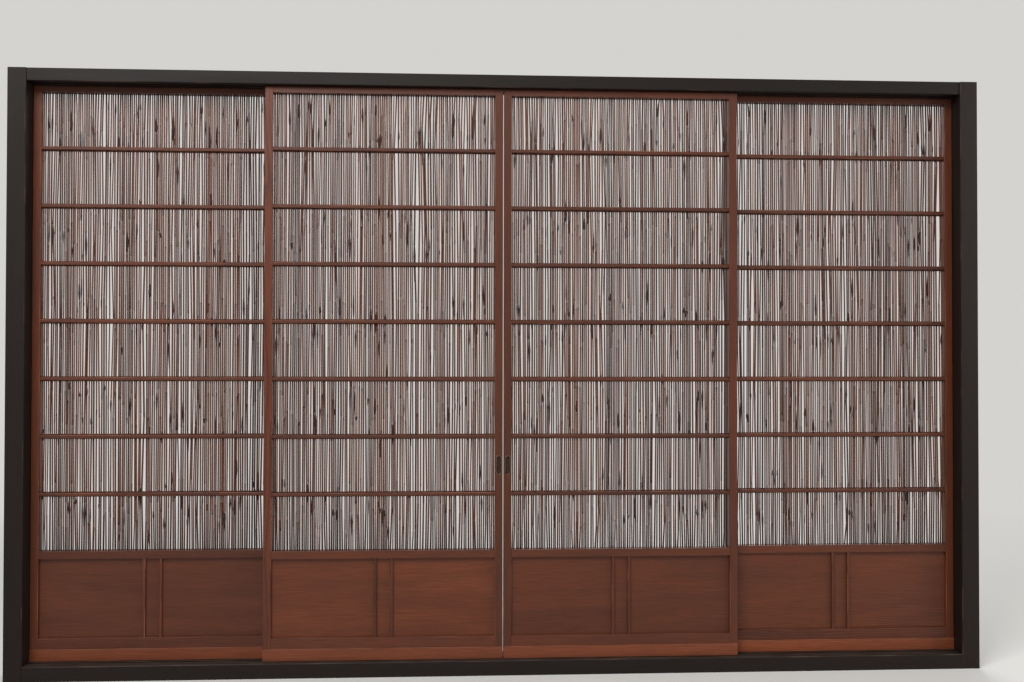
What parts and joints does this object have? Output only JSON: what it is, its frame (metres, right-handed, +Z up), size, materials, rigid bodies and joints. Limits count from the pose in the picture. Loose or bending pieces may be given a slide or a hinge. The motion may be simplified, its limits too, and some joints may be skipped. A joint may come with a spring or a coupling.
{
  "type": "sliding reed screen doors in a frame",
  "caption": "Wide wooden frame with double tracks holding sliding screen doors of upright reeds behind thin bars, over plain waist boards.",
  "frame": {"origin": "on the floor under the middle of the sill", "axes": "+X to the right seen from the room, -Y towards the room, +Z up"},
  "size_m": [2.935, 0.106, 1.811],
  "materials": {
    "frame_wood": "black-brown stained, worn at the grooves",
    "door_wood": "red-brown stained, satin",
    "shoe_wood": "lighter red-brown, satin",
    "board_wood": "red-brown stained, long grain across the door",
    "reed": "aged brown reed, dull",
    "pull_metal": "blackened, dull"
  },
  "bodies": {
    "frame": {"sill": "frame_wood", "lintel": "frame_wood", "left_post": "frame_wood", "right_post": "frame_wood"},
    "outer_left_door": {"outer_left_left_stile": "door_wood", "outer_left_right_stile": "door_wood", "outer_left_top_rail": "door_wood", "outer_left_waist_rail": "door_wood", "outer_left_bottom_rail": "door_wood", "outer_left_shoe": "shoe_wood", "outer_left_waist_board": "board_wood", "outer_left_battens": "door_wood", "outer_left_bars": "door_wood", "outer_left_keepers": "door_wood", "outer_left_reed_mat": "reed"},
    "inner_left_door": {"inner_left_left_stile": "door_wood", "inner_left_right_stile": "door_wood", "inner_left_top_rail": "door_wood", "inner_left_waist_rail": "door_wood", "inner_left_bottom_rail": "door_wood", "inner_left_shoe": "shoe_wood", "inner_left_waist_board": "board_wood", "inner_left_battens": "door_wood", "inner_left_bars": "door_wood", "inner_left_keepers": "door_wood", "inner_left_reed_mat": "reed", "inner_left_finger_pull": "pull_metal"},
    "inner_right_door": {"inner_right_left_stile": "door_wood", "inner_right_right_stile": "door_wood", "inner_right_top_rail": "door_wood", "inner_right_waist_rail": "door_wood", "inner_right_bottom_rail": "door_wood", "inner_right_shoe": "shoe_wood", "inner_right_waist_board": "board_wood", "inner_right_battens": "door_wood", "inner_right_bars": "door_wood", "inner_right_keepers": "door_wood", "inner_right_reed_mat": "reed", "inner_right_finger_pull": "pull_metal"},
    "outer_right_door": {"outer_right_left_stile": "door_wood", "outer_right_right_stile": "door_wood", "outer_right_top_rail": "door_wood", "outer_right_waist_rail": "door_wood", "outer_right_bottom_rail": "door_wood", "outer_right_shoe": "shoe_wood", "outer_right_waist_board": "board_wood", "outer_right_battens": "door_wood", "outer_right_bars": "door_wood", "outer_right_keepers": "door_wood", "outer_right_reed_mat": "reed"}
  },
  "joints": [
    {"name": "outer_left_slide", "type": "slide", "parent": "frame", "child": "outer_left_door", "axis": [1, 0, 0], "range_m": [0, 0.6935]},
    {"name": "inner_left_slide", "type": "slide", "parent": "frame", "child": "inner_left_door", "axis": [1, 0, 0], "range_m": [-0.6935, 0.0013]},
    {"name": "inner_right_slide", "type": "slide", "parent": "frame", "child": "inner_right_door", "axis": [1, 0, 0], "range_m": [-0.0013, 0.6935]},
    {"name": "outer_right_slide", "type": "slide", "parent": "frame", "child": "outer_right_door", "axis": [1, 0, 0], "range_m": [-0.6935, 0]}
  ]
}
